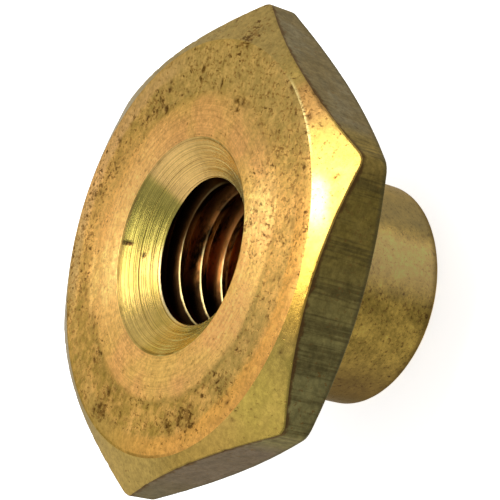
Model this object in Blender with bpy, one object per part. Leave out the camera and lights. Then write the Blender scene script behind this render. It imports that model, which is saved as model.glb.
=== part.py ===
"""Brass hexagon nut with a round collar, turned in one piece from hexagon bar.

It stands on the end of its collar: the origin is the middle of that end face and +Z runs up
the thread's axis to the countersunk front face. Two hexagon corners lie on the X axis.
The thread is left-hand. All lengths are in metres.
"""

import math

import bmesh
import bpy

# Driving sizes
ACROSS_FLATS = 0.025
TOTAL_HEIGHT = 0.0136
HEAD_THICKNESS = 0.0042
COLLAR_DIAMETER = 0.0133
THREAD_DIAMETER = 0.010
THREAD_PITCH = 0.0015
THREAD_HAND = -1  # 1 is right-hand, -1 is left-hand
THREAD_START = 0.00015  # height on the +X side at which a thread crest's lower edge passes

# Details of the turned blank
CORNER_RADIUS = 0.0008
FRONT_FACE_DIAMETER = 0.0236
FRONT_CHAMFER_ANGLE = math.radians(28)
BACK_FACE_DIAMETER = 0.0232
BACK_CHAMFER_ANGLE = math.radians(24)
COLLAR_END_CHAMFER = 0.0003

# Details of the hole
COUNTERSINK_DIAMETER = 0.0124
COUNTERSINK_ANGLE = math.radians(100)
ENTRY_DIAMETER = 0.0104
ENTRY_ANGLE = math.radians(90)

# Worked out from the sizes above
COLLAR_LENGTH = TOTAL_HEIGHT - HEAD_THICKNESS
HEX_CORNER_REACH = ACROSS_FLATS / math.sqrt(3)
BLANK_RADIUS = HEX_CORNER_REACH + 0.001
SHARP_THREAD_HEIGHT = THREAD_PITCH * math.sqrt(3) / 2
MINOR_DIAMETER = THREAD_DIAMETER - 2 * SHARP_THREAD_HEIGHT * 5 / 8

# How finely round surfaces are divided, and how far a cutter runs past what it cuts
ROUND_SEGMENTS = 72
CORNER_SEGMENTS = 4
THREAD_SEGMENTS = 36
OVERRUN = 0.0015
CUTTER_TIP_RADIUS = 0.003
SHARP_EDGE_ANGLE = math.radians(20)

BRASS_COLOUR = (0.46, 0.30, 0.085, 1)
BRASS_ROUGHNESS = 0.38


def clear_scene():
    for obj in list(bpy.data.objects):
        bpy.data.objects.remove(obj, do_unlink=True)


def brass_material():
    material = bpy.data.materials.new("tarnished_brass")
    material.use_nodes = True
    surface = material.node_tree.nodes["Principled BSDF"]
    surface.inputs["Base Color"].default_value = BRASS_COLOUR
    surface.inputs["Metallic"].default_value = 1
    surface.inputs["Roughness"].default_value = BRASS_ROUGHNESS
    return material


def object_from(name, bm):
    """Turns a bmesh into an object of the scene, with its faces pointing out."""
    bmesh.ops.recalc_face_normals(bm, faces=bm.faces)
    mesh = bpy.data.meshes.new(name)
    bm.to_mesh(mesh)
    bm.free()
    obj = bpy.data.objects.new(name, mesh)
    bpy.context.scene.collection.objects.link(obj)
    return obj


def turned(name, profile):
    """A solid of revolution about Z. The profile is (radius, height) points, from axis to axis."""
    bm = bmesh.new()
    verts = [bm.verts.new((radius, 0, height)) for radius, height in profile]
    edges = [bm.edges.new(pair) for pair in zip(verts, verts[1:])]
    bmesh.ops.spin(
        bm,
        geom=verts + edges,
        axis=(0, 0, 1),
        cent=(0, 0, 0),
        angle=math.tau,
        steps=ROUND_SEGMENTS,
        use_merge=True,
    )
    bmesh.ops.remove_doubles(bm, verts=bm.verts, dist=1e-7)
    return object_from(name, bm)


def turned_blank():
    """What the lathe leaves outside: the collar, the shoulder behind the head and both chamfers."""
    collar = COLLAR_DIAMETER / 2
    front = FRONT_FACE_DIAMETER / 2
    back = BACK_FACE_DIAMETER / 2
    back_drop = (BLANK_RADIUS - back) * math.tan(BACK_CHAMFER_ANGLE)
    front_drop = (BLANK_RADIUS - front) * math.tan(FRONT_CHAMFER_ANGLE)
    return turned(
        "nut_body",
        [
            (0, 0),
            (collar - COLLAR_END_CHAMFER, 0),
            (collar, COLLAR_END_CHAMFER),
            (collar, COLLAR_LENGTH),
            (back, COLLAR_LENGTH),
            (BLANK_RADIUS, COLLAR_LENGTH + back_drop),
            (BLANK_RADIUS, TOTAL_HEIGHT - front_drop),
            (front, TOTAL_HEIGHT),
            (0, TOTAL_HEIGHT),
        ],
    )


def hex_bar():
    """The drawn bar that the nut is turned from: a long prism with rounded corners."""
    arc_centre = HEX_CORNER_REACH - CORNER_RADIUS / math.cos(math.pi / 6)
    outline = []
    for corner in range(6):
        middle = corner * math.pi / 3
        for step in range(CORNER_SEGMENTS + 1):
            turn = middle + (step / CORNER_SEGMENTS - 0.5) * math.pi / 3
            x = arc_centre * math.cos(middle) + CORNER_RADIUS * math.cos(turn)
            y = arc_centre * math.sin(middle) + CORNER_RADIUS * math.sin(turn)
            outline.append((x, y))
    bm = bmesh.new()
    base = bm.faces.new([bm.verts.new((x, y, -OVERRUN)) for x, y in outline])
    grown = bmesh.ops.extrude_face_region(bm, geom=[base])["geom"]
    risen = [v for v in grown if isinstance(v, bmesh.types.BMVert)]
    bmesh.ops.translate(bm, verts=risen, vec=(0, 0, TOTAL_HEIGHT + 2 * OVERRUN))
    return object_from("hex_bar", bm)


def cone_cutter(name, mouth_height, outward, diameter, angle):
    """A countersinking tool whose cone has this diameter at mouth_height and widens outward."""
    slope = math.tan(angle / 2)
    mouth = diameter / 2
    outer = mouth + OVERRUN * slope
    inner_depth = (mouth - CUTTER_TIP_RADIUS) / slope
    return turned(
        name,
        [
            (0, mouth_height - outward * inner_depth),
            (CUTTER_TIP_RADIUS, mouth_height - outward * inner_depth),
            (outer, mouth_height + outward * OVERRUN),
            (0, mouth_height + outward * OVERRUN),
        ],
    )


def thread_profile():
    """One pitch of the tap as (radius, share of a pitch): root, flank, crest, flank."""
    minor = MINOR_DIAMETER / 2
    major = THREAD_DIAMETER / 2
    return [(minor, 0), (minor, 1 / 4), (major, 9 / 16), (major, 11 / 16)]


def thread_tap():
    """The tap: the thread's profile carried along a helix and closed at both ends."""
    profile = thread_profile()
    turns = math.ceil((TOTAL_HEIGHT + 4 * OVERRUN) / THREAD_PITCH)
    stations = turns * THREAD_SEGMENTS
    bottom = THREAD_START - 2 * THREAD_PITCH
    bm = bmesh.new()

    def point(station, radius, share):
        turn = THREAD_HAND * station * math.tau / THREAD_SEGMENTS
        height = bottom + (station / THREAD_SEGMENTS + share) * THREAD_PITCH
        return bm.verts.new((radius * math.cos(turn), radius * math.sin(turn), height))

    rows = [[point(s, *place) for place in profile] for s in range(stations + 1)]
    last_turn = range(stations + 1, stations + THREAD_SEGMENTS + 1)
    roots = [row[0] for row in rows] + [point(s, *profile[0]) for s in last_turn]

    def across(station):
        return rows[station] + [roots[station + THREAD_SEGMENTS]]

    for s in range(stations):
        here, after = across(s), across(s + 1)
        for low in range(len(profile)):
            bm.faces.new([here[low], after[low], after[low + 1], here[low + 1]])
    for start in (0, stations):
        rim = roots[start : start + THREAD_SEGMENTS + 1] + rows[start][:0:-1]
        middle = bm.verts.new((0, 0, sum(v.co.z for v in rim) / len(rim)))
        for first, second in zip(rim, rim[1:] + rim[:1]):
            bm.faces.new([middle, first, second])
    return object_from("thread_tap", bm)


def cut_with(body, tool, operation="DIFFERENCE"):
    """Adds a Boolean that shapes the body with a hidden tool, and returns the tool."""
    tool.hide_render = True
    tool.display_type = "WIRE"
    boolean = body.modifiers.new(tool.name, "BOOLEAN")
    boolean.object = tool
    boolean.operation = operation
    boolean.solver = "EXACT"
    return tool


def finish_cuts(body, tools):
    """Keeps the cut shape as the body's own mesh, with its edges marked, and drops the tools."""
    graph = bpy.context.evaluated_depsgraph_get()
    shape = bpy.data.meshes.new_from_object(body.evaluated_get(graph))
    body.modifiers.clear()
    body.data = shape
    for tool in tools:
        bpy.data.objects.remove(tool, do_unlink=True)
    shape.shade_smooth()
    shape.set_sharp_from_angle(angle=SHARP_EDGE_ANGLE)


def nut_body():
    body = turned_blank()
    body.data.materials.append(brass_material())
    countersink = cone_cutter(
        "countersink_tool", TOTAL_HEIGHT, 1, COUNTERSINK_DIAMETER, COUNTERSINK_ANGLE
    )
    tools = [
        cut_with(body, hex_bar(), "INTERSECT"),
        cut_with(body, countersink),
        cut_with(body, cone_cutter("entry_tool", 0, -1, ENTRY_DIAMETER, ENTRY_ANGLE)),
        cut_with(body, thread_tap()),
    ]
    finish_cuts(body, tools)


clear_scene()
nut_body()
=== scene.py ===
"""Looks for the collared hexagon nut: one piece of worn brass, turned from drawn hexagon bar.

The CAD solid is the frame. A finer skin with rounded edges, tool marks, pits and a cut thread
stands for it, and each kind of surface has its own brass. Lengths are in millimetres until an
object is made. Angles are about the thread's axis from +X, in degrees among the values and in
the materials, and in radians where meshes are made.
"""

from math import atan2, cos, hypot, pi, radians, sin, sqrt, tan, tau

import bmesh
import bpy
import numpy as np
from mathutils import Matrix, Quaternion, Vector, noise


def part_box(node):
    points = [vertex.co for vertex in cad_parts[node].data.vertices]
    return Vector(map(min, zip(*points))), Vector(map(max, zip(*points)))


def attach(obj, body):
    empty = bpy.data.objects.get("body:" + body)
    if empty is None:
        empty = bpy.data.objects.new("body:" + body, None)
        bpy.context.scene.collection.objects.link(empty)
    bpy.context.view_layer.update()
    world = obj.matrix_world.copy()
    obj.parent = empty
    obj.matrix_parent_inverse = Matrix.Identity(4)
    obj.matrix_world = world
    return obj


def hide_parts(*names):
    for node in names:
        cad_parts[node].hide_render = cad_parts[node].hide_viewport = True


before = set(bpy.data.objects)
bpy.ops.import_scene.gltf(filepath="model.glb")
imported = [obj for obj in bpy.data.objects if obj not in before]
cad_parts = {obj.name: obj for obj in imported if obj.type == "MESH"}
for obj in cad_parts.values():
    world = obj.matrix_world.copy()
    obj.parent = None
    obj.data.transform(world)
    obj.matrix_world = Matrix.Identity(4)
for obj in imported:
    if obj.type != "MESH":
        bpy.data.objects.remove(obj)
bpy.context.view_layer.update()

MM = 0.001  # metres in a millimetre
LOW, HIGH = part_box("nut_body")

# Sizes that the frame gives
HEIGHT = (HIGH.z - LOW.z) / MM
ACROSS_FLATS = (HIGH.y - LOW.y) / MM

# Sizes of the turned shape
SHOULDER = 9.4
COLLAR_RADIUS = 6.65
COLLAR_END_CHAMFER = 0.3
CORNER_RADIUS = 0.8
FACE_RADIUS = 11.8
FRONT_CHAMFER = 28
BACK_FACE_RADIUS = 11.6
BACK_CHAMFER = 24
RIM_RADIUS = 6.2
COUNTERSINK_SLOPE = 50  # from the axis
ENTRY_RADIUS = 5.2
CORE_RADIUS = 3.9  # the skin is closed inside this, where the thread is cut away

# The thread
MAJOR_RADIUS = 5.0
MINOR_RADIUS = 4.188
PITCH = 1.5
HAND = -1  # 1 is right-hand, -1 is left-hand
THREAD_START = 0.15
THREAD_SEGMENTS = 144
THREAD_ROWS = 16
TAP_TURNS = 13
TURNS_BELOW = 2  # turns of the tap below the thread's start
TAP_TEAR = 0.012
# The thread's profile, in pitches
CREST_HALF = 1 / 8
FLANK = 5 / 16
GROOVE_MIDDLE = 5 / 8
PROFILE_BLUR = 0.03
# The first turn of the thread fades out where the countersink has cut it away
THREAD_FADE = (11.3, 11.8)

# Columns of the skin in each sixth of a turn
COLUMNS_AT_CORNER = 8
COLUMNS_ALONG_FLAT = 54
CORNER_SPREAD = 1.9  # how far the closer columns reach on each side of a corner

# The skin's stretches from the hole outward and round to the hole again: the surface that each
# belongs to, and the rows that divide it
REGIONS = ("countersink", "face", "chamfer", "flats", "back", "back", "collar", "back", "back", "back")
STEPS = (38, 50, 11, 8, 5, 12, 24, 2, 6, 6)
PITTED = ("countersink", "face", "chamfer")
SHARP_ANGLE = 34  # edges that bend more than this stay sharp

# Single pits and nicks of the front, as (x, y, half width round the axis, half width along a
# radius, depth)
PITS = (
    (7.2, 5.4, 0.1, 0.26, 0.08),
    (8.35, 5.6, 0.14, 0.16, 0.06),
    (6.5, 7.2, 0.18, 0.1, 0.05),
    (8.2, 4.1, 0.14, 0.08, 0.04),
    (9.3, 0.3, 0.08, 0.26, 0.05),
    (8.5, -1.6, 0.1, 0.1, 0.04),
    (8.5, -2.3, 0.08, 0.18, 0.04),
    (12.8, -1.3, 0.1, 0.08, 0.04),
    (9.8, -6.5, 0.14, 0.1, 0.05),
    (8.6, -8.5, 0.12, 0.1, 0.05),
    (5.9, -11.6, 0.14, 0.12, 0.08),
    (-9.4, -4.0, 0.14, 0.12, 0.06),
    (-9.0, -5.0, 0.14, 0.12, 0.05),
    (-8.6, -6.4, 0.14, 0.1, 0.05),
    (-6.0, -7.5, 0.18, 0.1, 0.05),
    (-6.7, -9.0, 0.12, 0.12, 0.05),
    (-10.2, 3.3, 0.1, 0.3, 0.05),
    (-10.5, 3.8, 0.12, 0.1, 0.05),
    (-9.2, 2.8, 0.16, 0.14, 0.05),
    (-7.9, 5.4, 0.16, 0.1, 0.06),
    (-6.2, 6.5, 0.1, 0.1, 0.04),
    (-4.6, 8.5, 0.16, 0.08, 0.04),
    (4.7, 9.6, 0.16, 0.1, 0.05),
    (1.4, 10.2, 0.1, 0.18, 0.05),
    (-0.9, 5.8, 0.08, 0.2, 0.1),
    (-1.3, 4.85, 0.13, 0.06, 0.05),
)
# Where the front's fine specks crowd together, as (x, y, spread, density)
SPECK_CLUSTERS = (
    (7.3, 6.3, 1.3, 0.8),
    (8.3, 4.9, 0.9, 0.6),
    (9.9, 2.6, 0.9, 0.7),
    (10.4, 0.8, 0.9, 0.6),
    (12.3, -0.8, 1.1, 1.0),
    (8.5, -2.0, 0.8, 0.7),
    (3.8, 9.4, 1.9, 0.6),
    (1.2, 10.3, 1.1, 0.6),
    (-10.3, 3.2, 0.9, 1.1),
    (-9.2, 2.8, 0.6, 0.9),
    (-7.8, 5.0, 0.8, 0.7),
    (-6.2, 6.4, 1.0, 0.6),
    (-6.4, 8.6, 0.9, 0.7),
    (-4.5, 8.6, 0.9, 0.6),
    (-2.5, 10.6, 1.3, 0.6),
    (-9.3, -4.2, 1.0, 0.9),
    (-8.5, -5.6, 1.2, 0.9),
    (-6.2, -8.0, 1.2, 0.8),
    (9.2, -7.4, 1.1, 0.7),
)
# Small pits scattered over the front, with the least and the most of what varies
SCATTERED_PITS = 130
PIT_SEED = 7
PITS_IN_BAND = 0.7  # the share of them that lies in the dull band
BAND_RADIUS = 9.9
BAND_SPREAD = 0.75
PIT_REACH = (6.5, 13.5)
PIT_SIZE = (0.05, 0.11)
PIT_STRETCH = (0.7, 1.6)
PIT_DEPTH = (0.15, 0.4)  # as a share of the pit's size
STAIN_DEPTH = 0.035  # a pit this deep holds as much dirt as any
MARKED_DEPTH = 2  # the pits and specks lie this near the front
MARKED_RADIUS = MINOR_RADIUS + 0.1  # and outside this

# How high the face stands: its inner ring, the groove round that, and its rim
RING_HEIGHT = 0.09
RING_EDGE = (7.7, 8.85)
GROOVE_DEPTH = 0.03
GROOVE_RADIUS = 8.95
GROOVE_WIDTH = 0.13
RIM_HEIGHT = 0.04
RIM_EDGE = (10.5, 11.1)
ROUGH_START = (8.7, 9)  # the band between them is rough
ROUGH_END = (10.8, 11.2)

# Random relief
LUMP_SHIFT = (17.3, 5.1, 9.7)  # how far each seed moves the lumps
MARK_REACH = (-2, 30)  # the places that a tool's marks cover
CHATTER_TURN = 100  # where the countersinking tool chattered most
CHATTER_SPREAD = 45
DRAWN_STRETCH = (1, 1, 0.06)  # of the lines along the flats
TEAR_STRETCH = (1, 1, 2.5)  # of the tears in the thread

# Colours as linear red, green and blue. "glancing" tints what shows at a low angle, and GLANCING
# does so where a palette has no tint of its own.
GLANCING = (1, 0.8, 0.42)
DIRT = (0.115, 0.053, 0.015)
BROWN_TARNISH = (0.3, 0.155, 0.04)
FACE = {
    "orange": (0.95, 0.5, 0.165),
    "yellow": (0.91, 0.55, 0.155),
    "front_rim": (0.9, 0.45, 0.1),
    "far_rim": (0.86, 0.5, 0.2),
    "left_rim": (0.49, 0.33, 0.12),
    "lower_left_rim": (0.42, 0.285, 0.075),
    # painted sheen, lightening the far side of the inner ring
    "painted_sheen": (1, 0.57, 0.19),
    "top": (0.5, 0.345, 0.115),
    "olive": (0.43, 0.28, 0.06),
    "tan": (0.64, 0.375, 0.1),
    "dull_orange": (0.8, 0.46, 0.13),
    "dull_warm": (0.82, 0.46, 0.13),
    "dull_green": (0.48, 0.34, 0.105),
    "crowded": (0.3, 0.2, 0.05),
    # painted shade laid in the groove round the inner ring
    "groove": (0.25, 0.185, 0.045),
    "seam": (0.22, 0.14, 0.035),
    # painted glints on the inner ring
    "painted_glints": (1, 0.76, 0.24),
    "scuff": (0.46, 0.26, 0.075),
}
CHAMFER = {
    "glancing": (0.95, 0.84, 0.64),
    "yellow": (0.72, 0.46, 0.12),
    "dark_yellow": (0.6, 0.4, 0.095),
    "green": (0.52, 0.43, 0.07),
    "lower": (0.64, 0.43, 0.115),
    "lower_front": (0.43, 0.28, 0.062),
    "far": (0.41, 0.365, 0.215),
    "far_lower": (0.37, 0.28, 0.11),
    # painted highlight: the orange fringe of the bright patch at the front
    "orange": (0.8, 0.44, 0.05),
    # painted highlight tint, for the sector where the key light shows
    "highlight_sector": (0.74, 0.45, 0.075),
    # painted highlight: a nearly white hot spot
    "painted_hot_spot": (0.82, 0.64, 0.36),
    "top_front": (0.5, 0.345, 0.09),
    "top": (0.42, 0.295, 0.095),
    # painted highlight: the pinkish end of the bright patch
    "pink": (0.66, 0.345, 0.105),
    # painted highlight: a thin bright line along the edge by the face
    "painted_edge_line": (1, 0.78, 0.3),
}
FLATS = {
    "glancing": (1, 0.9, 0.7),
    "brown": (0.345, 0.255, 0.115),
    "grey": (0.365, 0.295, 0.165),
    "behind_yellow": (0.47, 0.325, 0.1),
    "behind_brown": (0.36, 0.26, 0.09),
    "lower": (0.26, 0.18, 0.14),
    "front_lower": (0.4, 0.345, 0.115),
    "front_upper": (0.355, 0.25, 0.04),
    "corner": (0.5, 0.34, 0.09),
    "lines": (0.14, 0.105, 0.035),
    "front_edge": (0.17, 0.085, 0.028),
    "back_edge": (0.13, 0.11, 0.05),
}
COLLAR = {
    "glancing": (0.92, 0.76, 0.52),
    "bright": (0.92, 0.6, 0.125),
    "dull": (0.56, 0.37, 0.075),
    # painted highlight band on the collar
    "gloss": (1, 0.7, 0.32),
    "upper": (0.46, 0.35, 0.165),
    # painted shade on the -X side
    "lower": (0.17, 0.1, 0.05),
    # painted shade at the collar's lower end
    "end": (0.2, 0.12, 0.035),
}
BACK = {"bright": (0.76, 0.5, 0.14), "dull": (0.64, 0.42, 0.12)}
COUNTERSINK = {
    "yellow": (0.82, 0.55, 0.155),
    "dark_yellow": (0.68, 0.47, 0.11),
    # painted reflections: a tan sector and a green sector
    "tan": (0.92, 0.58, 0.22),
    "green": (0.41, 0.355, 0.08),
    # painted reflection, with a lit strip inside it
    "shaded": (0.76, 0.7, 0.26),
    # painted reflection on the near side of the cone
    "painted_near_reflection": (1, 0.86, 0.42),
    "score": (0.3, 0.22, 0.045),
    "ring": (0.36, 0.27, 0.055),
    "brink": (0.24, 0.15, 0.04),
    # painted highlight: a bright ring at the bottom of the cone
    "painted_bright_ring": (0.95, 0.76, 0.4),
}
THREAD = {
    "glancing": (0.5, 0.3, 0.14),
    "oxide": (0.024, 0.011, 0.004),
    "glow": (0.85, 0.34, 0.085),
    # bare brass on the crests, partly a painted highlight
    "worn": (0.94, 0.72, 0.3),
}

# Specks of dirt, as noise above a limit that falls by crowding where the density is 1
FINE_SPECKS = {
    "size": 0.18, "squeeze": 0.8, "detail": 3, "roughness": 0.6,
    "limit": 0.645, "crowding": 0.14, "softness": 0.12, "most": 0.75,
}
COARSE_SPECKS = {
    "size": 0.36, "squeeze": 0.75, "detail": 5, "roughness": 0.62,
    "limit": 0.68, "crowding": 0.13, "softness": 0.1, "most": 0.88,
}
NOISE_LOW, NOISE_HIGH = 0.34, 0.66  # most noise lies between these

# The camera
CAMERA_TARGET = Vector((0.79, 0, 8.88))
CAMERA_DISTANCE = 102.7
CAMERA_AZIMUTH = -87.76
CAMERA_ELEVATION = 33.91
CAMERA_ROLL = -75.04
CAMERA_LENS = 129.9
CAMERA_SENSOR = 36
CAMERA_RANGE = (1, 20000)  # the nearest and the farthest that it sees

# The set: a white floor, a plain pad under the hole, and a white wall round and above it all
FLOOR_RADIUS = 1500
DISC_SEGMENTS = 96
PAD_RADIUS = COLLAR_RADIUS - 0.6
PAD_HEIGHT = 0.002
WALL_RADIUS = 1450
WALL_SUNK = 1  # how far the wall starts below the floor
WALL_ROWS = 17
WALL_COLUMNS = 64
SHEET_GREY = 0.92
SHEET_ROUGHNESS = 0.9
WALL_ROUGHNESS = 0.5

# Brightness of the room and the lights, where 1 shows a white sheet as just white
ROOM_FRONT = 0.3
ROOM_BACK = 0.66
ROOM_SPREAD = 0.9  # the room changes over this much to each side, where 1 is straight on
ROOM_COLOUR = (0.96, 0.98, 1)
FLOOR_GLOW = 0.75
# The lights, as (name, place, size, what it is aimed at, brightness, colour)
LIGHTS = (
    ("key", (105, 0, 300), (230, 200), (105, 0, 0), 3.8, (1, 0.975, 0.96)),
    ("window", (-249, 85, 250), (236, 330), (0, 0, 12), 0.36, (1, 0.93, 0.9)),
    ("wall_light", (0, 260, 190), (320, 220), (0, 0, 12), 0.25, (1, 1, 1)),
)


# ---- Shape


def hexagon_reach(angle):
    """Distance from the axis to the bar's outline: flats joined by rounded corners."""
    from_corner = np.abs((angle + pi / 6) % (pi / 3) - pi / 6)
    flat = ACROSS_FLATS / 2 / np.cos(pi / 6 - from_corner)
    arc_centre = ACROSS_FLATS / sqrt(3) - CORNER_RADIUS / cos(pi / 6)
    arc_end = atan2(CORNER_RADIUS / 2, arc_centre + CORNER_RADIUS * cos(pi / 6))
    inside = np.maximum(CORNER_RADIUS**2 - (arc_centre * np.sin(from_corner)) ** 2, 0)
    arc = arc_centre * np.cos(from_corner) + np.sqrt(inside)
    return np.where(from_corner < arc_end, arc, flat)


def column_angles():
    """Angles of the skin's columns, closer together round the hexagon's rounded corners."""
    bend = radians(CORNER_SPREAD)
    at_corner = np.linspace(-bend, bend, COLUMNS_AT_CORNER, endpoint=False)
    along_flat = np.linspace(bend, pi / 3 - bend, COLUMNS_ALONG_FLAT, endpoint=False)
    sixth = np.concatenate([at_corner, along_flat])
    return np.concatenate([sixth + side * pi / 3 for side in range(6)])


def skin_corners(angle):
    """Each edge of the turned shape as (radius, height, rounding), from the hole outward and round."""
    reach = hexagon_reach(angle)
    cone_run = (RIM_RADIUS - CORE_RADIUS) / tan(radians(COUNTERSINK_SLOPE))
    front_drop = (reach - FACE_RADIUS) * tan(radians(FRONT_CHAMFER))
    back_rise = (reach - BACK_FACE_RADIUS) * tan(radians(BACK_CHAMFER))
    return [
        (CORE_RADIUS, HEIGHT - cone_run, 0),
        (RIM_RADIUS, HEIGHT, 0.07),
        (FACE_RADIUS, HEIGHT, 0.14),
        (reach, HEIGHT - front_drop, 0.1),
        (reach, SHOULDER + back_rise, 0.1),
        (BACK_FACE_RADIUS, SHOULDER, 0.12),
        (COLLAR_RADIUS, SHOULDER, 0.2),
        (COLLAR_RADIUS, COLLAR_END_CHAMFER, 0.12),
        (COLLAR_RADIUS - COLLAR_END_CHAMFER, 0, 0.12),
        (ENTRY_RADIUS, 0, 0.06),
        (CORE_RADIUS, ENTRY_RADIUS - CORE_RADIUS, 0),
    ]


def towards(start, goal, distance):
    """The points this far from start on the way to goal."""
    way = goal - start
    return start + way * (distance / np.linalg.norm(way, axis=1, keepdims=True))


def edge_rows(before, corner, after):
    """Rows that take the skin round an edge along a smooth curve."""
    return [
        (1 - share) ** 2 * before + 2 * share * (1 - share) * corner + share**2 * after
        for share in (0.25, 0.5, 0.75)
    ]


def skin_rows(angle):
    """Rows of (radius, height) for every column, and the region that each row belongs to."""
    corners = []
    for radius, height, rounding in skin_corners(angle):
        place = np.stack([radius + 0 * angle, height + 0 * angle], axis=1)
        corners.append((place, rounding))
    rows, regions = [], []
    for number, (region, steps) in enumerate(zip(REGIONS, STEPS)):
        start, start_round = corners[number]
        goal, goal_round = corners[number + 1]
        first = towards(start, goal, start_round)
        last = towards(goal, start, goal_round)
        run = [first + (last - first) * step / steps for step in range(steps + 1)]
        if goal_round:
            run += edge_rows(last, goal, towards(goal, corners[number + 2][0], goal_round))
        rows += run
        regions += [region] * len(run)
    return rows, regions


def ring_marks(place, spacing, seed):
    """A random relief of -1 to 1 that changes only with place, as a tool's passes do."""
    rng = np.random.default_rng(seed)
    knots = np.arange(*MARK_REACH, spacing)
    return np.interp(place, knots, rng.uniform(-1, 1, len(knots)))


def lumps(points, size, seed):
    """Smooth random relief of about -1 to 1 whose lumps are this many millimetres across."""
    shift = Vector([seed * by for by in LUMP_SHIFT])
    values = [noise.noise(Vector(p) / size + shift) for p in points.reshape(-1, 3)]
    return np.array(values).reshape(points.shape[:-1])


def smooth_step(value, low, high):
    """0 at low, 1 at high and a smooth change between."""
    share = np.clip((value - low) / (high - low), 0, 1)
    return share * share * (3 - 2 * share)


def from_axis(points):
    return np.hypot(points[..., 0], points[..., 1])


def scattered_pits():
    """Small single pits, most of them in the dull band halfway out across the face."""
    rng = np.random.default_rng(PIT_SEED)
    found = []
    for _ in range(SCATTERED_PITS):
        places = [rng.normal(BAND_RADIUS, BAND_SPREAD), rng.uniform(*PIT_REACH)]
        away = rng.choice(places, p=[PITS_IN_BAND, 1 - PITS_IN_BAND])
        turn = rng.uniform(0, tau)
        size = rng.uniform(*PIT_SIZE)
        stretch = rng.uniform(*PIT_STRETCH)
        depth = size * rng.uniform(*PIT_DEPTH)
        found.append((away * cos(turn), away * sin(turn), size * stretch, size, depth))
    return found


def pit_depth(points):
    """How deep the front's pits are at each point."""
    x, y = points[..., 0], points[..., 1]
    depth = np.zeros(x.shape)
    for pit_x, pit_y, along, across, deep in list(PITS) + scattered_pits():
        away = hypot(pit_x, pit_y)
        out = ((x - pit_x) * pit_x + (y - pit_y) * pit_y) / away
        beside = ((y - pit_y) * pit_x - (x - pit_x) * pit_y) / away
        depth = np.maximum(depth, deep * np.exp(-((out / across) ** 2) - (beside / along) ** 2))
    return depth


def speck_density(points):
    """How crowded the fine specks are at each point, from the clusters."""
    density = np.zeros(points.shape[:-1])
    for x, y, spread, strength in SPECK_CLUSTERS:
        distance = np.hypot(points[..., 0] - x, points[..., 1] - y)
        density = np.maximum(density, strength * np.exp(-((distance / spread) ** 2)))
    return density


def face_relief(points):
    """The inner ring stands proud, the band round it is rough and low, and the rim is smoother."""
    away = from_axis(points)
    wander = away + 0.15 * lumps(points, 3, seed=1)
    inner = RING_HEIGHT * (1 - smooth_step(wander, *RING_EDGE))
    groove = -GROOVE_DEPTH * np.exp(-(((wander - GROOVE_RADIUS) / GROOVE_WIDTH) ** 2))
    outer = RIM_HEIGHT * smooth_step(wander, *RIM_EDGE)
    rough = smooth_step(wander, *ROUGH_START) * (1 - 0.6 * smooth_step(wander, *ROUGH_END))
    coarse = 0.02 * lumps(points, 1.6, seed=2) + 0.009 * lumps(points, 0.45, seed=3)
    passes = 0.006 * ring_marks(away, 0.13, seed=4) * (1 - 0.7 * smooth_step(away, 8.5, 9))
    relief = inner + groove + outer + (0.3 + 0.7 * rough) * coarse + passes
    near_rim = 0.35 + 0.65 * smooth_step(away, RIM_RADIUS + 0.05, RIM_RADIUS + 0.6)
    return relief * near_rim * smooth_step(away, FACE_RADIUS + 0.02, FACE_RADIUS - 0.35)


def countersink_relief(points):
    """The rings that the countersinking tool left, strongest where it chattered."""
    turn = np.degrees(np.arctan2(points[..., 1], points[..., 0]))
    chatter = 0.4 + 0.6 * np.exp(-(((turn - CHATTER_TURN) / CHATTER_SPREAD) ** 2))
    rings = ring_marks(from_axis(points) + 0.05 * lumps(points, 4, seed=5), 0.12, seed=6)
    return 0.02 * chatter * rings + 0.006 * lumps(points, 1.5, seed=7)


def flat_relief(points):
    """Long shallow lines left by drawing the bar through its die."""
    along = points * DRAWN_STRETCH
    lines = 0.005 * lumps(along, 0.8, seed=8) + 0.004 * lumps(along, 0.35, seed=9)
    return lines + 0.006 * lumps(points, 0.6, seed=10)


def turned_relief(points):
    """Shallow passes of the lathe tool with a few bruises."""
    passes = 0.004 * ring_marks(from_axis(points) + points[..., 2], 0.22, seed=12)
    bruises = 0.05 * np.maximum(lumps(points, 1.6, seed=11) - 0.45, 0)
    return passes - bruises + 0.004 * lumps(points, 0.5, seed=13)


def chamfer_relief(points):
    """A smooth turned cone whose outer edge is nicked where it meets the flats."""
    away = from_axis(points)
    reach = hexagon_reach(np.arctan2(points[..., 1], points[..., 0]))
    at_edge = smooth_step(reach - away, 0.16, 0.06)
    nicks = np.maximum(lumps(points, 0.3, seed=17) - 0.15, 0)
    smooth = 0.003 * ring_marks(away, 0.15, seed=14) + 0.005 * lumps(points, 0.9, seed=15)
    return smooth - 0.1 * at_edge * nicks


RELIEFS = {
    "countersink": countersink_relief,
    "face": face_relief,
    "chamfer": chamfer_relief,
    "flats": flat_relief,
    "back": turned_relief,
    "collar": turned_relief,
}


def skin_points(angle):
    """The skin's points as (row, column, xyz), each moved along its normal by its region's relief."""
    rows, regions = skin_rows(angle)
    radius = np.stack([row[:, 0] for row in rows])
    height = np.stack([row[:, 1] for row in rows])
    points = np.stack([radius * np.cos(angle), radius * np.sin(angle), height], axis=-1)
    across = np.gradient(points, axis=0)
    along = np.roll(points, -1, axis=1) - np.roll(points, 1, axis=1)
    normals = np.cross(across, along)
    normals /= np.maximum(np.linalg.norm(normals, axis=-1, keepdims=True), 1e-12)
    for region, relief in RELIEFS.items():
        chosen = [number for number, name in enumerate(regions) if name == region]
        part = points[chosen]
        raised = relief(part)
        if region in PITTED:
            raised = raised - pit_depth(part)
        points[chosen] = part + normals[chosen] * raised[..., None]
    points[..., 2] = np.clip(points[..., 2], 0, None)
    return points, regions


def add_object(name, data):
    obj = bpy.data.objects.new(name, data)
    bpy.context.scene.collection.objects.link(obj)
    return obj


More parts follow.
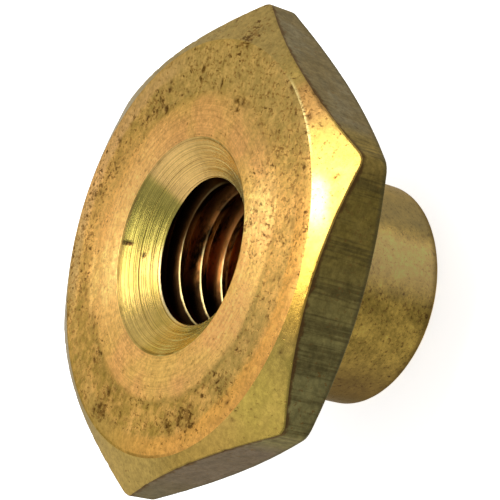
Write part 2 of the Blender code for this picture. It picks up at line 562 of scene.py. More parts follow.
def mesh_object(name, points, faces, surfaces=()):
    """A mesh object from points in millimetres. surfaces says which finish each face has."""
    mesh = bpy.data.meshes.new(name)
    mesh.from_pydata(np.asarray(points) * MM, [], faces)
    order = list(FINISHES)
    for face, surface in zip(mesh.polygons, surfaces):
        face.material_index = order.index(surface)
    return add_object(name, mesh)


def ring_faces(rows, columns):
    """Quads between neighbouring rows of points. Each row is a closed ring."""
    faces = []
    for here in range(0, (rows - 1) * columns, columns):
        after = here + columns
        for column in range(columns):
            beside = (column + 1) % columns
            faces.append((here + column, here + beside, after + beside, after + column))
    return faces


def skin():
    """The whole nut before its thread is cut, with a plug where the thread will be."""
    points, regions = skin_points(column_angles())
    rows, columns = points.shape[:2]
    faces = ring_faces(rows, columns)
    surfaces = [region for region in regions[1:] for _ in range(columns)]
    flat = list(points.reshape(-1, 3))
    for row in (0, rows - 1):
        flat.append((0, 0, points[row, 0, 2]))
        middle = len(flat) - 1
        start = row * columns
        for column in range(columns):
            faces.append((middle, start + column, start + (column + 1) % columns))
            surfaces.append("thread")
    return mesh_object("worn_nut", flat, faces, surfaces)


def sharp_profile(share):
    """Radius of the cut without wear, at this share of a pitch above the crest's lower edge."""
    from_crest = np.abs((share - CREST_HALF + 0.5) % 1 - 0.5)
    down_flank = np.clip((from_crest - CREST_HALF) / FLANK, 0, 1)
    return MINOR_RADIUS + (MAJOR_RADIUS - MINOR_RADIUS) * down_flank


def thread_radius(share):
    """The same radius with the profile's corners worn round."""
    return sum(sharp_profile(share + step) for step in (-PROFILE_BLUR, 0, PROFILE_BLUR)) / 3


def tap_points():
    """The tap's points as (station, row, xyz), with its surface torn a little."""
    station = np.arange(TAP_TURNS * THREAD_SEGMENTS + 1)[:, None]
    share = np.arange(THREAD_ROWS)[None, :] / THREAD_ROWS
    turn = HAND * station * tau / THREAD_SEGMENTS
    height = THREAD_START + (station / THREAD_SEGMENTS + share - TURNS_BELOW) * PITCH
    groove = THREAD_START + (station / THREAD_SEGMENTS + GROOVE_MIDDLE - TURNS_BELOW) * PITCH
    depth = 1 - smooth_step(groove, *THREAD_FADE)
    radius = MINOR_RADIUS + (thread_radius(share) - MINOR_RADIUS) * depth
    points = np.stack([radius * np.cos(turn), radius * np.sin(turn), height], axis=-1)
    torn = TAP_TEAR * lumps(points * TEAR_STRETCH, 0.6, seed=16)
    points[..., :2] *= (1 + torn / radius)[..., None]
    return points


def tap_vertex(station, row):
    """Number of a point of the tap. The row above the last is the next turn's first."""
    if row == THREAD_ROWS:
        return (station + THREAD_SEGMENTS) * THREAD_ROWS
    return station * THREAD_ROWS + row


def tap():
    """The thread as a solid screw, to be cut out of the skin."""
    flat = list(tap_points().reshape(-1, 3))
    last = (TAP_TURNS - 1) * THREAD_SEGMENTS
    faces = []
    for place in range(last):
        for row in range(THREAD_ROWS):
            corners = ((place, row), (place + 1, row), (place + 1, row + 1), (place, row + 1))
            faces.append(tuple(tap_vertex(*corner) for corner in corners))
    for start in (0, last):
        rim = [tap_vertex(start + step, 0) for step in range(THREAD_SEGMENTS + 1)]
        rim += [tap_vertex(start, row) for row in range(THREAD_ROWS - 1, 0, -1)]
        flat.append((0, 0, sum(flat[v][2] for v in rim) / len(rim)))
        faces += [(len(flat) - 1, first, second) for first, second in zip(rim, rim[1:] + rim[:1])]
    used = sorted({v for face in faces for v in face})
    number = {v: n for n, v in enumerate(used)}
    faces = [tuple(number[v] for v in face) for face in faces]
    return mesh_object("tap", [flat[v] for v in used], faces, ["thread"] * len(faces))


def outward(obj):
    """Turns every face of a closed mesh outward."""
    bm = bmesh.new()
    bm.from_mesh(obj.data)
    bmesh.ops.recalc_face_normals(bm, faces=bm.faces)
    bm.to_mesh(obj.data)
    bm.free()


def cut_thread(body, tool):
    """Cuts the tap out of the skin and keeps the result as the body's own mesh."""
    boolean = body.modifiers.new("thread", "BOOLEAN")
    boolean.object = tool
    boolean.operation = "DIFFERENCE"
    boolean.solver = "EXACT"
    boolean.material_mode = "INDEX"
    graph = bpy.context.evaluated_depsgraph_get()
    shape = bpy.data.meshes.new_from_object(body.evaluated_get(graph))
    body.modifiers.clear()
    body.data = shape
    bpy.data.objects.remove(tool, do_unlink=True)


def store_marks(mesh):
    """Keeps how dirty and how speckled each point of the front is, for the materials to read."""
    places = np.empty(len(mesh.vertices) * 3)
    mesh.vertices.foreach_get("co", places)
    places = places.reshape(-1, 3) / MM
    front = (places[:, 2] > HEIGHT - MARKED_DEPTH) & (from_axis(places) > MARKED_RADIUS)
    stain = front * np.clip(pit_depth(places) / STAIN_DEPTH, 0, 1)
    for name, values in (("stain", stain), ("specks", front * speck_density(places))):
        mesh.attributes.new(name, "FLOAT", "POINT").data.foreach_set("value", values)


def nut():
    body = skin()
    outward(body)
    for finish in FINISHES.values():
        body.data.materials.append(finish())
    tool = tap()
    outward(tool)
    cut_thread(body, tool)
    store_marks(body.data)
    body.data.shade_smooth()
    body.data.set_sharp_from_angle(angle=radians(SHARP_ANGLE))
    return body


# ---- Materials


class Finish:
    """A brass material in the making: its colour so far, and the places that its pattern needs.

    x, y, z and radius are in millimetres and turn is in degrees. A share is a number of 0 to 1
    that changes over the surface. A colour is a palette's name, a tuple or an output.
    """

    def __init__(self, name, palette):
        self.palette = palette
        self.material = bpy.data.materials.new(name)
        self.material.use_nodes = True
        self.tree = self.material.node_tree
        self.shader = self.tree.nodes["Principled BSDF"]
        self.shader.inputs["Metallic"].default_value = 1
        self.shader.inputs["Specular Tint"].default_value = (*palette.get("glancing", GLANCING), 1)
        here = self.put("ShaderNodeTexCoord").outputs["Object"]
        self.place = self.scaled(here, 1 / MM, 1 / MM, 1 / MM)
        split = self.put("ShaderNodeSeparateXYZ", [(0, self.place)])
        self.x, self.y, self.z = split.outputs
        squared = self.plus(self.times(self.x, self.x), self.times(self.y, self.y))
        self.radius = self.put("ShaderNodeMath", [(0, squared)], operation="SQRT").outputs[0]
        self.turn = self.times(self.calc("ARCTAN2", self.y, self.x), 180 / pi)
        for mark in ("stain", "specks"):
            stored = self.put("ShaderNodeAttribute", attribute_name=mark)
            setattr(self, mark, stored.outputs["Fac"])

    def put(self, kind, inputs=(), **settings):
        """Adds a node. Each input is (socket, value or another node's output)."""
        node = self.tree.nodes.new(kind)
        for name, value in settings.items():
            setattr(node, name, value)
        for socket, value in inputs:
            if isinstance(value, bpy.types.NodeSocket):
                self.tree.links.new(value, node.inputs[socket])
            else:
                node.inputs[socket].default_value = value
        return node

    def calc(self, operation, first, *others):
        """The first value, changed by each of the others in turn."""
        for other in others:
            first = self.put("ShaderNodeMath", [(0, first), (1, other)], operation=operation).outputs[0]
        return first

    def times(self, *values):
        return self.calc("MULTIPLY", *values)

    def plus(self, *values):
        return self.calc("ADD", *values)

    def minus(self, first, second):
        return self.calc("SUBTRACT", first, second)

    def highest(self, *values):
        return self.calc("MAXIMUM", *values)

    def held(self, value, low=0, high=1):
        """The value kept between low and high."""
        return self.calc("MINIMUM", self.highest(value, low), high)

    def vector(self, x, y=0, z=0):
        return self.put("ShaderNodeCombineXYZ", [(0, x), (1, y), (2, z)]).outputs[0]

    def scaled(self, vector, *by):
        """The vector with its three parts multiplied."""
        return self.put("ShaderNodeVectorMath", [(0, vector), (1, by)], operation="MULTIPLY").outputs[0]

    def grain(self, vector, size, detail=3, roughness=0.55):
        """Noise of 0 to 1 with lumps of about this size in the vector's own units."""
        settings = [("Scale", 1 / size), ("Detail", detail), ("Roughness", roughness)]
        return self.put("ShaderNodeTexNoise", [("Vector", vector), *settings]).outputs[0]

    def grains(self, **wanted):
        """Keeps noises over the surface under these names. Each is given as grain's settings."""
        for name, settings in wanted.items():
            setattr(self, name, self.grain(self.place, *settings))

    def rings(self, size, *settings):
        """Noise that changes only with the distance from the axis."""
        return self.grain(self.vector(self.radius), size, *settings)

    def fade(self, value, low, high):
        """0 at low, 1 at high and a smooth change between."""
        ends = [("Value", value), ("From Min", low), ("From Max", high)]
        return self.put("ShaderNodeMapRange", ends, interpolation_type="SMOOTHSTEP").outputs[0]

    def zone(self, value, start, full, last, end):
        """1 from full to last, fading to 0 at start and at end."""
        return self.times(self.fade(value, start, full), self.fade(value, end, last))

    def where(self, **ranges):
        """1 past the end of every named place's range, fading to 0 at its start."""
        return self.times(*[self.fade(getattr(self, name), *ends) for name, ends in ranges.items()])

    def between(self, share, low, high):
        """Spreads a share over low to high."""
        ends = [("Value", share), ("To Min", low), ("To Max", high)]
        return self.put("ShaderNodeMapRange", ends).outputs[0]

    def blend(self, share, first, second):
        """A number between two numbers."""
        return self.plus(first, self.times(self.minus(second, first), share))

    def mix(self, share, first, second):
        """A colour between two colours."""
        node = self.put("ShaderNodeMix", [(0, share)], data_type="RGBA")
        for socket, colour in ((6, first), (7, second)):
            if isinstance(colour, bpy.types.NodeSocket):
                self.tree.links.new(colour, node.inputs[socket])
            else:
                named = self.palette[colour] if isinstance(colour, str) else colour
                node.inputs[socket].default_value = (*named, 1)
        return node.outputs[2]

    def dimmed(self, colour, by):
        """The colour times a number."""
        inputs = [(0, colour), ("Scale", by)]
        return self.put("ShaderNodeVectorMath", inputs, operation="SCALE").outputs[0]

    def cover(self, colour, share, amount=1):
        """Lays a colour over the one so far."""
        self.colour = self.mix(self.times(share, amount), self.colour, colour)

    def shade(self, share, low, high):
        """Multiplies the colour so far by low to high."""
        self.colour = self.dimmed(self.colour, self.between(share, low, high))

    def mottled(self, noise, low, high):
        """Shades the colour with noise, most of which lies near its middle."""
        self.shade(self.fade(noise, NOISE_LOW, NOISE_HIGH), low, high)

    def brushed(self, amount, x, y, z=0):
        """Spreads the gloss along the direction (x, y, z), which is across the tool's marks."""
        self.shader.inputs["Anisotropic"].default_value = amount
        self.tree.links.new(self.vector(x, y, z), self.shader.inputs["Tangent"])

    def dirtied(self):
        """Fills the pits with dirt, broken up by fine grain so that they don't look round."""
        fine = self.between(self.grain(self.place, 0.14, 3, 0.7), -0.4, 2.4)
        stain = self.held(self.times(self.stain, fine))
        self.cover(DIRT, stain)
        return stain

    def speck_layer(self, layer, density):
        """One layer of specks, cut from noise at a limit that falls where they crowd."""
        squeezed = self.scaled(self.place, 1, layer["squeeze"], 1)
        noise = self.grain(squeezed, layer["size"], layer["detail"], layer["roughness"])
        above = self.minus(noise, self.minus(layer["limit"], self.times(density, layer["crowding"])))
        return self.held(self.calc("DIVIDE", above, layer["softness"]), 0, layer["most"])

    def specked(self, density):
        """Covers the colour with fine and coarse specks, as crowded as density says."""
        fine = self.speck_layer(FINE_SPECKS, density)
        coarse = self.speck_layer(COARSE_SPECKS, density)
        self.cover(BROWN_TARNISH, fine)
        self.cover(DIRT, coarse)
        return self.highest(fine, coarse)

    def finish(self, roughness, height, distance):
        """Joins the colour, a roughness and a height in millimetres to the shader."""
        self.tree.links.new(self.colour, self.shader.inputs["Base Color"])
        self.tree.links.new(roughness, self.shader.inputs["Roughness"])
        relief = [("Height", height), ("Distance", distance * MM), ("Strength", 1)]
        bump = self.put("ShaderNodeBump", relief).outputs[0]
        self.tree.links.new(bump, self.shader.inputs["Normal"])
        return self.material


def face_zones(f):
    """Where the face's ring, dull band and rim lie. Their edges wander and are blurred in places."""
    f.wander = f.plus(f.radius, f.between(f.broad, -0.3, 0.3), f.between(f.mottle, -0.4, 0.4))
    f.far_side = f.zone(f.turn, 45, 65, 120, 140)
    upper_front = f.where(x=(0.5, 4), y=(3, -1))
    f.blurred = f.highest(upper_front, f.far_side)
    f.beyond = f.blend(f.blurred, f.fade(f.wander, 8.25, 9), f.fade(f.wander, 7.2, 9.9))
    f.rim = f.fade(f.wander, 10.35, 10.95)
    lower_rim = f.times(f.fade(f.plus(f.y, f.times(f.x, 0.55)), 2, -4), f.fade(f.x, 6, 2))
    upper_rim = f.fade(f.plus(f.y, f.times(f.x, 0.3)), 6.5, 9)
    clean_rim = f.times(f.rim, f.highest(lower_rim, upper_rim, 0.1))
    f.band = f.times(f.beyond, f.minus(1, clean_rim))
    f.top = f.times(f.fade(f.x, 4, 10), f.beyond)


def dull_band(f):
    """The colour of the band: olive and tan, warmer in the middle and greener at the lower front, with
    painted shade at the lower left.
    """
    dull = f.mix(f.fade(f.mottle, 0.32, 0.68), "olive", "tan")
    dull = f.mix(f.where(patches=(0.47, 0.62), x=(8, 3)), dull, "dull_orange")
    warm = f.zone(f.x, -5, -1, 3.5, 7)
    dull = f.mix(f.times(warm, 0.5), dull, "dull_warm")
    green = f.times(f.zone(f.turn, -140, -126, -104, -90), f.fade(f.wander, 10.7, 9.9))
    dull = f.mix(f.times(green, 0.5), dull, "dull_green")
    # Painted shade: the band is darker at the lower left.
    lower_left = f.where(x=(-1, -5), y=(-1, 2))
    return f.dimmed(dull, f.between(lower_left, 1, 0.86))


def face_colours(f):
    """The face's ring, rim and band, before any marks, with painted shade towards +X and -X and a
    painted sheen on the far side of the ring.
    """
    f.colour = f.mix(f.fade(f.broad, 0.38, 0.62), "orange", "yellow")
    f.cover(f.mix(f.fade(f.y, 0, 6), "front_rim", "far_rim"), f.rim, 0.8)
    # Painted shade: the face is darkened towards +X, more so near its +X edge, and towards -X.
    for start, end, dimmest in ((2, 7, 0.76), (8.5, 11, 0.92), (-2, -7, 0.88)):
        f.shade(f.fade(f.x, start, end), 1, dimmest)
    # Painted sheen: the far side of the inner ring is lightened towards a light orange.
    f.cover("painted_sheen", f.times(f.zone(f.turn, 25, 60, 118, 150), f.minus(1, f.beyond)), 0.6)
    left_rim = f.where(radius=(9.5, 10.8), x=(3.5, -3), y=(-5, 3))
    f.cover(f.mix(f.fade(f.x, -3, -7), "left_rim", "lower_left_rim"), left_rim, 0.8)
    f.cover(dull_band(f), f.band, 0.92)
    f.cover("top", f.top, 0.6)


def face_marks(f, rings):
    """Tool rings, painted shade in the groove inside the band, the seam at the lower edge, painted
    glints and scuffs.
    """
    # Painted shade: a dark line along the groove round the inner ring, broken up by noise.
    groove = f.times(f.zone(f.wander, 8.6, 8.85, 8.9, 9.25), f.fade(f.patches, 0.4, 0.6))
    f.cover("groove", f.times(groove, f.minus(1, f.blurred)), 0.6)
    f.shade(rings, 0.84, 1.1)
    at_edge = (FACE_RADIUS - 0.13, FACE_RADIUS - 0.05)
    f.cover("seam", f.where(x=(-4, -8), y=(-7, -3), patches=(0.38, 0.5), radius=at_edge), 0.55)
    # Painted glints: yellow streaks on the inner ring in two opposite sectors.
    painted_glints = f.plus(f.zone(f.turn, 97, 107, 120, 133), f.zone(f.turn, -79, -70, -60, -50))
    patchy = f.between(f.fade(f.mottle, 0.42, 0.6), 0.25, 1)
    f.cover("painted_glints", f.times(painted_glints, f.minus(1, f.fade(f.radius, 8.3, 9.6)), patchy), 0.55)
    f.mottled(f.grit, 0.8, 1.2)
    f.mottled(f.mottle, 0.9, 1.1)
    round_and_out = f.vector(f.times(f.turn, 0.14), f.times(f.radius, 0.35))
    scuffs = f.fade(f.grain(round_and_out, 0.22, 4, 0.65), 0.54, 0.68)
    scuffs = f.times(scuffs, f.fade(f.patches, 0.4, 0.56), f.minus(1, f.times(f.band, 0.5)))
    f.cover("scuff", scuffs, 0.5)


def face_specks(f):
    """Specks that crowd in the band, in the clusters, at the upper front and on the far rim."""
    upper_front = f.times(f.zone(f.turn, -94, -82, -48, -36), 0.6)
    far_rim = f.times(f.far_side, f.fade(f.radius, 8.8, 9.8), 0.75)
    in_band = f.plus(f.times(f.band, 0.45), f.times(f.top, 0.15))
    density = f.highest(in_band, f.times(f.specks, 1.35), upper_front, far_rim)
    # Painted sheen: the near side of the face inside the rim is lightened a little.
    near = f.times(f.zone(f.turn, -140, -125, -52, -40), f.fade(f.radius, 10.6, 9.8))
    f.shade(near, 1, 1.08)
    f.cover("crowded", f.fade(f.specks, 0.15, 0.9), 0.3)
    return f.specked(f.plus(density, f.minus(f.times(f.patches, 2), 0.9)))


def face_finish():
    """Scuffed face: a pink-orange ring, a dull olive band full of specks, and an orange rim."""
    f = Finish("brass_face", FACE)
    f.brushed(0.75, f.x, f.y)
    f.grains(broad=(4, 3), patches=(1.5, 6, 0.65), mottle=(0.6, 5, 0.7), grit=(0.28, 5, 0.75))
    face_zones(f)
    face_colours(f)
    rings = f.blend(f.beyond, f.fade(f.rings(0.16, 3), 0.34, 0.62), 0.6)
    face_marks(f, rings)
    specks = face_specks(f)
    stain = f.dirtied()
    roughness = f.plus(f.between(f.grit, 0.28, 0.46), f.times(f.band, 0.04))
    roughness = f.plus(roughness, f.times(f.highest(stain, specks), 0.2))
    height = f.plus(f.times(f.grit, 1.3), f.times(rings, 0.5), f.times(specks, -0.6))
    return f.finish(roughness, height, 0.014)


def chamfer_colours(f, top, pink):
    """The chamfer's brass: greenish and dull below and paler on the far side, with a painted highlight
    at the front: a nearly white hot spot, an orange fringe, a pinkish end and a bright line by the
    face.
    """
    f.colour = f.mix(f.fade(f.patches, 0.38, 0.62), "yellow", "dark_yellow")
    f.cover("green", f.where(y=(-8.5, -10.5), x=(-1, -4.5)), 0.45)
    f.cover(f.mix(f.fade(f.y, -2.5, -6), "lower", "lower_front"), f.fade(f.x, -6, -10), 0.9)
    f.cover(f.mix(f.fade(f.x, -2, -6), "far", "far_lower"), f.fade(f.y, 1, 6), 0.9)
    # Painted highlight: an orange fringe where the bright patch at the front begins.
    f.cover("orange", f.zone(f.turn, -104, -94, -85, -77), 0.6)
    # Painted highlight: the sector where the key light shows is tinted a deeper yellow.
    highlight_sector = f.zone(f.turn, -106, -96, -52, -44)
    f.cover("highlight_sector", highlight_sector, 0.5)
    # Painted highlight: a nearly white hot spot inside that sector, near the face.
    painted_hot_spot = f.times(f.zone(f.x, 2.6, 4.2, 5, 6.2), f.fade(f.radius, 13, 12.3), highlight_sector)
    f.cover("painted_hot_spot", painted_hot_spot, 0.7)
    f.cover(f.mix(f.fade(f.y, -6.5, -3), "top_front", "top"), top, 0.75)
    # Painted highlight: the pinkish end of the bright patch at the front.
    f.cover("pink", pink, 0.8)
    # Painted highlight: a thin bright line along the chamfer's edge by the face.
    painted_edge_line = f.fade(f.radius, FACE_RADIUS + 0.24, FACE_RADIUS + 0.08)
    f.cover("painted_edge_line", f.times(f.zone(f.turn, -58, -50, -36, -27), painted_edge_line), 0.9)


def chamfer_finish():
    """Bright turned chamfer, smoother than the face."""
    f = Finish("brass_chamfer", CHAMFER)
    f.brushed(0.3, f.x, f.y)
    f.grains(patches=(1.6, 5, 0.6), mottle=(0.5, 4, 0.65), grit=(0.22, 5, 0.7))
    top = f.fade(f.x, 5, 10)
    # The pinkish end of the painted highlight, where the specks also crowd a little.
    pink = f.zone(f.turn, -51, -44, -37, -32)
    chamfer_colours(f, top, pink)
    f.mottled(f.grit, 0.86, 1.12)
    f.mottled(f.mottle, 0.88, 1.12)
    density = f.plus(f.highest(f.times(f.specks, 1.2), f.times(top, 0.35)), f.times(pink, 0.12))
    specks = f.specked(f.plus(density, f.minus(f.times(f.patches, 2), 0.88)))
    f.dirtied()
    roughness = f.plus(f.between(f.grit, 0.16, 0.32), f.times(top, 0.12), f.times(specks, 0.2))
    height = f.plus(f.grit, f.rings(0.12, 2), f.times(f.mottle, 0.5), f.times(specks, -0.7))
    return f.finish(roughness, height, 0.005)


def above_back_edge(f):
    """How far a flat's point is above the edge between the flat and the back chamfer."""
    drop = f.times(f.minus(f.radius, BACK_FACE_RADIUS), tan(radians(BACK_CHAMFER)))
    return f.minus(f.z, f.plus(drop, SHOULDER))


def below_front_edge(f):
    """How far a flat's point is below the edge between the flat and the front chamfer."""
    fall = f.times(f.minus(f.radius, FACE_RADIUS), tan(radians(FRONT_CHAMFER)))
    return f.minus(f.minus(HEIGHT, fall), f.z)


def flats_colours(f, coarse, fine):
    """The flats' tarnish: brown-green with dark lines in front, greyer below, warmer behind, and
    painted shade at the lower front.
    """
    front = f.fade(f.y, -9.5, -11.5)
    patchy = f.fade(f.patches, 0.38, 0.62)
    f.colour = f.mix(patchy, "brown", "grey")
    f.cover(f.mix(patchy, "behind_yellow", "behind_brown"), f.fade(f.y, -0.5, 0.5))
    f.cover("lower", f.where(x=(-6, -9), y=(0, -5)), 0.7)
    # Painted shade on the flats at the lower front.
    f.shade(f.where(x=(-8, -12), y=(-5, -1)), 1, 0.75)
    f.cover(f.mix(f.fade(f.x, -4, 4), "front_lower", "front_upper"), front, 0.8)
    f.cover("corner", f.where(x=(5.2, 7), y=(-9.5, -11.8)), 0.6)
    lines = f.fade(f.plus(f.times(coarse, 0.5), f.times(fine, 0.5)), 0.54, 0.4)
    f.cover("lines", f.times(lines, f.between(front, 0.22, 0.65)))
    f.mottled(f.grit, 0.84, 1.14)
    f.mottled(f.mottle, 0.82, 1.16)
    ragged = f.plus(below_front_edge(f), f.between(f.mottle, -0.4, 0.4))
    f.cover("front_edge", f.fade(ragged, 0.36, 0.12), 0.85)
    f.cover("back_edge", f.fade(above_back_edge(f), 0.38, 0.1), 0.6)


def flats_finish():
    """Drawn flats: dull, with faint lines running along the bar and a skin of tarnish."""
    f = Finish("brass_flats", FLATS)
    f.brushed(0.4, f.times(f.y, -1), f.x)
    f.grains(patches=(2.2, 5, 0.65), mottle=(0.6, 4, 0.65), grit=(0.2, 4, 0.7))
    drawn = f.scaled(f.place, 1, 1, 0.05)
    coarse = f.grain(drawn, 0.9, 3)
    fine = f.grain(drawn, 0.16, 3)
    flats_colours(f, coarse, fine)
    specks = f.specked(f.minus(f.times(f.patches, 1.6), 0.55))
    height = f.plus(f.times(fine, 0.6), f.grit, f.mottle, f.times(specks, -0.6))
    return f.finish(f.between(coarse, 0.38, 0.5), height, 0.008)


def turned_finish(name, palette):
    """Turned brass with fine passes round the axis, with its roughness and height."""
    f = Finish(name, palette)
    f.grains(patches=(2, 6, 0.65), mottle=(0.6, 5, 0.7), grit=(0.22, 5, 0.75))
    passes = f.grain(f.vector(f.radius, 0, f.z), 0.12, 3)
    f.colour = f.mix(f.fade(f.patches, 0.38, 0.62), "bright", "dull")
    f.mottled(f.mottle, 0.82, 1.16)
    f.mottled(f.grit, 0.8, 1.2)
    f.shade(passes, 0.85, 1.12)
    near_head = f.times(f.fade(f.z, SHOULDER - 4, SHOULDER - 1), 0.35)
    specks = f.specked(f.plus(f.times(f.patches, 1.8), -0.32, near_head))
    roughness = f.plus(f.between(f.grit, 0.3, 0.46), f.times(specks, 0.2))
    height = f.plus(passes, f.times(f.grit, 1.3), f.mottle, f.times(specks, -0.7))
    return f, roughness, height


def collar_finish():
    """The collar's turned side, bright on one side with a painted highlight and browner on the other
    with painted shade.
    """
    f, roughness, height = turned_finish("brass_collar", COLLAR)
    f.brushed(0.4, 0, 0, 1)
    # Painted highlight: a bright golden band on the front, towards +X.
    gloss = f.times(f.zone(f.x, 0, 2.2, 3.4, 5), f.fade(f.y, 0, -3))
    f.shade(gloss, 1, 1.5)
    f.cover("gloss", gloss, 0.6)
    # Painted shade on the upper front.
    f.shade(f.where(x=(3.6, 5.2), y=(1, -2)), 1, 0.8)
    f.cover("upper", f.fade(f.x, 3.6, 5), 0.7)
    # Painted shade: dark brown on the -X front side, darker still at its far edge.
    f.cover("lower", f.where(x=(-1.5, -6), y=(2, -2)), 0.85)
    f.shade(f.where(x=(-5, -6.2), y=(0, -2)), 1, 0.55)
    # Painted shade: the lower end of the collar, by the floor, is darkened.
    f.cover("end", f.fade(f.z, 0.8, 0.2), 0.8)
    return f.finish(roughness, height, 0.008)


def back_finish():
    """The back of the head, the collar's end face and the chamfers round the hole there."""
    f, roughness, height = turned_finish("brass_back", BACK)
    f.brushed(0.5, f.x, f.y)
    return f.finish(roughness, height, 0.01)


def countersink_colours(f, rings, scores):
    """Sectors of the cone in tan, green, yellow and bright brass, with the tool's dark rings. The tan,
    green, shaded and bright sectors are painted reflections.
    """
    f.colour = f.mix(f.fade(f.patches, 0.35, 0.65), "yellow", "dark_yellow")
    # Painted reflections: a tan sector and a green sector, with a sharp edge between them.
    f.cover("tan", f.zone(f.turn, -20, 5, 54, 62), 0.6)
    f.cover("green", f.zone(f.turn, 54, 62, 92, 110), 0.85)
    # Painted reflection: a greenish shaded sector, with a brighter strip inside it.
    f.cover("shaded", f.zone(f.turn, -180, -163, -130, -100), 0.9)
    f.shade(f.zone(f.turn, -154, -146, -132, -126), 1, 1.28)
    # Painted reflection: the near side of the cone is lightened to a light yellow.
    f.cover("painted_near_reflection", f.zone(f.turn, -90, -60, -22, 14), 0.95)
    chattered = f.zone(f.turn, 48, 62, 150, 178)
    f.cover("score", f.times(scores, f.between(chattered, 0.2, 0.7)))
    f.cover("ring", f.fade(rings, 0.52, 0.34), 0.5)
    f.shade(f.fade(f.rings(0.05, 2), 0.36, 0.64), 0.86, 1.12)
    f.mottled(f.grit, 0.95, 1.05)
    f.mottled(f.mottle, 0.94, 1.06)


def countersink_finish():
    """Clean cut cone with the fine rings of the countersinking tool."""
    f = Finish("brass_countersink", COUNTERSINK)
    f.brushed(0.35, f.x, f.y)
    f.grains(patches=(1.6, 3), mottle=(0.6, 4, 0.65), grit=(0.18, 4, 0.7))
    rings = f.rings(0.1, 4, 0.7)
    scores = f.fade(f.rings(0.15, 2), 0.57, 0.64)
    countersink_colours(f, rings, scores)
    f.specked(f.minus(f.times(f.patches, 1.2), 1))
    ragged = f.plus(f.radius, f.between(f.mottle, -0.08, 0.08))
    brink = f.fade(ragged, RIM_RADIUS - 0.16, RIM_RADIUS - 0.06)
    f.cover("brink", f.times(brink, f.plus(0.35, f.times(f.fade(f.patches, 0.4, 0.6), 0.5))))
    f.dirtied()
    # Painted highlight: a bright ring at the bottom edge of the cone, on the -X side.
    painted_bright_ring = f.fade(f.radius, MINOR_RADIUS + 0.12, MINOR_RADIUS + 0.06)
    f.cover("painted_bright_ring", f.times(painted_bright_ring, f.fade(f.x, 0, -1.5)), 0.7)
    height = f.plus(f.times(rings, 2), f.times(scores, -1.4), f.times(f.grit, 0.08))
    return f.finish(f.between(rings, 0.18, 0.32), height, 0.018)


def thread_finish():
    """Dark oxide with a red-brown glow, worn to bare brass on the upper edge of the crests. The bare
    crests are also a painted highlight: bright on the -X side of the bore and nearly gone on the +X
    side.
    """
    f = Finish("brass_thread", THREAD)
    f.grains(patches=(0.7, 4))
    streaks = f.grain(f.scaled(f.place, 0.35, 0.35, 1.3), 0.9, 5, 0.65)
    facing = f.put("ShaderNodeNewGeometry").outputs["Normal"]
    upward = f.put("ShaderNodeSeparateXYZ", [(0, facing)]).outputs[2]
    edge = f.plus(f.radius, f.between(f.patches, -0.04, 0.04), f.between(streaks, -0.05, 0.05))
    crest = f.fade(edge, MINOR_RADIUS + 0.14, MINOR_RADIUS + 0.03)
    crest = f.times(crest, f.fade(upward, 0.15, 0.5))
    deep = f.fade(f.z, 11.4, 8.6)
    glow = f.times(f.fade(streaks, 0.36, 0.56), deep, f.fade(f.x, -3, -0.8))
    glow = f.times(glow, f.between(f.fade(f.x, 0.8, 2.8), 1, 0.5))
    f.colour = f.mix(glow, "oxide", "glow")
    # Wear and painted highlight: the crests' upper edges are bare brass, bright on the -X side of the
    # bore and nearly gone on the +X side.
    f.cover("worn", f.times(crest, f.between(f.fade(f.x, 1, -1), 0.09, 1)))
    return f.finish(f.between(f.patches, 0.26, 0.46), f.patches, 0.02)


# Every finish, in the order of the nut's material slots
FINISHES = {
    "countersink": countersink_finish,
    "face": face_finish,
    "chamfer": chamfer_finish,
    "flats": flats_finish,
    "back": back_finish,
    "collar": collar_finish,
    "thread": thread_finish,
}


# ---- Studio


def staged(name, points, faces):
    """A mesh of the set, which isn't part of the nut. Points are in millimetres."""
    obj = mesh_object(name, points, faces)
    return obj


def set_inputs(node, values):
    for socket, value in values.items():
        node.inputs[socket].default_value = value


def glowing(name, grey, roughness, glow):
    """A plain grey material that glows white."""
    material = bpy.data.materials.new(name)
    material.use_nodes = True
    inputs = {"Base Color": (grey, grey, grey, 1), "Roughness": roughness}
    inputs |= {"Emission Color": (1, 1, 1, 1), "Emission Strength": glow}
    set_inputs(material.node_tree.nodes["Principled BSDF"], inputs)
    return material


def disc(name, radius, height):
    turns = [step * tau / DISC_SEGMENTS for step in range(DISC_SEGMENTS)]
    rim = [(radius * cos(turn), radius * sin(turn), height) for turn in turns]
    return staged(name, rim, [tuple(range(DISC_SEGMENTS))])


def floor():
    """A wide white sheet that glows, so that hardly any shadow shows.

    The brass doesn't mirror it. Under the hole lies a plain piece that it does mirror, so that no
    light comes up the thread.
    """
    sheet = disc("floor", FLOOR_RADIUS, 0)
    sheet.data.materials.append(glowing("white_sheet", SHEET_GREY, SHEET_ROUGHNESS, FLOOR_GLOW))
    sheet.visible_glossy = False
    pad = disc("floor_under_nut", PAD_RADIUS, PAD_HEIGHT)
    pad.data.materials.append(glowing("white_pad", SHEET_GREY, SHEET_ROUGHNESS, 0))


def backdrop():
    """A white wall all round and above, which only the camera sees."""
    points = []
    for row in range(WALL_ROWS):
        rise = row / (WALL_ROWS - 1) * pi / 2
        reach = WALL_RADIUS * cos(rise)
        height = WALL_RADIUS * sin(rise) - WALL_SUNK
        for column in range(WALL_COLUMNS):
            turn = column * tau / WALL_COLUMNS
            points.append((reach * cos(turn), reach * sin(turn), height))
    wall = staged("backdrop", points, ring_faces(WALL_ROWS, WALL_COLUMNS))
    wall.data.materials.append(glowing("white_wall", 0, WALL_ROUGHNESS, 1))
    wall.visible_glossy = False
    wall.visible_diffuse = False
    wall.visible_shadow = False


def placed(name, data, place, rotation):
    """An object at a place in millimetres, turned by a quaternion."""
    obj = add_object(name, data)
    obj.location = place * MM
    obj.rotation_mode = "QUATERNION"
    obj.rotation_quaternion = rotation
    return obj


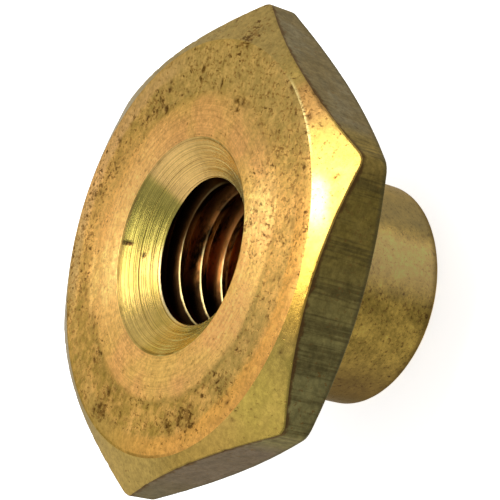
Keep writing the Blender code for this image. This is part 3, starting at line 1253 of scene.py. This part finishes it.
def panel(name, place, size, aim, radiance, colour):
    """A rectangular soft light. place and aim are in millimetres from the nut's origin."""
    light = bpy.data.lights.new(name, "AREA")
    light.shape = "RECTANGLE"
    light.size = size[0] * MM
    light.size_y = size[1] * MM
    light.energy = radiance * pi * light.size * light.size_y
    light.color = colour
    way = Vector(place) - Vector(aim)
    obj = placed(name, light, Vector(place), way.to_track_quat("Z", "Y"))
    obj.visible_camera = False


def surroundings():
    """A soft room, dim in front of the nut and brighter behind it."""
    world = bpy.data.worlds.new("studio")
    world.use_nodes = True
    tree = world.node_tree
    background = tree.nodes["Background"]
    set_inputs(background, {"Color": (*ROOM_COLOUR, 1)})
    way = tree.nodes.new("ShaderNodeTexCoord")
    split = tree.nodes.new("ShaderNodeSeparateXYZ")
    strength = tree.nodes.new("ShaderNodeMapRange")
    set_inputs(strength, {"From Min": -ROOM_SPREAD, "From Max": ROOM_SPREAD})
    set_inputs(strength, {"To Min": ROOM_FRONT, "To Max": ROOM_BACK})
    tree.links.new(way.outputs["Generated"], split.inputs[0])
    tree.links.new(split.outputs["Y"], strength.inputs["Value"])
    tree.links.new(strength.outputs[0], background.inputs["Strength"])
    world.cycles.sampling_method = "NONE"
    bpy.context.scene.world = world


def studio():
    surroundings()
    for light in LIGHTS:
        panel(*light)
    bpy.context.scene.view_settings.view_transform = "Standard"


def camera():
    """The main view: from above the front flat, with the camera rolled."""
    data = bpy.data.cameras.new("camera")
    data.lens = CAMERA_LENS
    data.sensor_width = CAMERA_SENSOR
    data.clip_start = CAMERA_RANGE[0] * MM
    data.clip_end = CAMERA_RANGE[1] * MM
    turn, rise = radians(CAMERA_AZIMUTH), radians(CAMERA_ELEVATION)
    back = Vector((cos(rise) * cos(turn), cos(rise) * sin(turn), sin(rise)))
    level = (-back).to_track_quat("-Z", "Y")
    rolled = level @ Quaternion((0, 0, 1), radians(CAMERA_ROLL))
    place = CAMERA_TARGET + back * CAMERA_DISTANCE
    bpy.context.scene.camera = placed("camera", data, place, rolled)


piece = nut()
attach(piece, "root")
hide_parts("nut_body")
floor()
backdrop()
studio()
camera()
